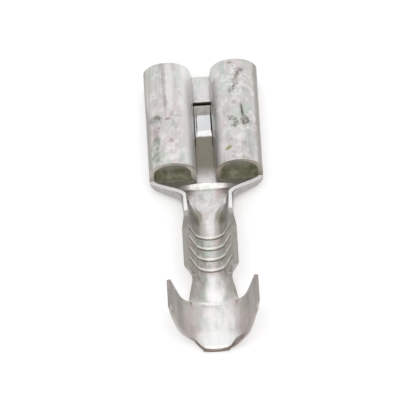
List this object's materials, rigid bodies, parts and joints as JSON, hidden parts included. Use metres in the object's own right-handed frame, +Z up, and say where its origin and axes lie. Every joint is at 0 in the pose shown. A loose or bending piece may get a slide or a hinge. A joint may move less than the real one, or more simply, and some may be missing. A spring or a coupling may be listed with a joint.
{
  "type": "spade terminal",
  "caption": "Uninsulated female spade terminal with a rolled tab receptacle, spring tongue, serrated wire crimp barrel and flared insulation crimp barrel.",
  "frame": {"origin": "centre of the mouth's front edge, on the upper face of the floor that the tab slides on", "axes": "+Y out of the mouth along the terminal, +Z up through the open side of the crimp barrels, +X across"},
  "size_m": [0.0076, 0.0207, 0.0045],
  "materials": {
    "tinned_brass": "dull tin plate over brass, with brass showing at the sheared tail"
  },
  "bodies": {
    "root": {"spade_terminal": "tinned_brass"}
  },
  "joints": []
}
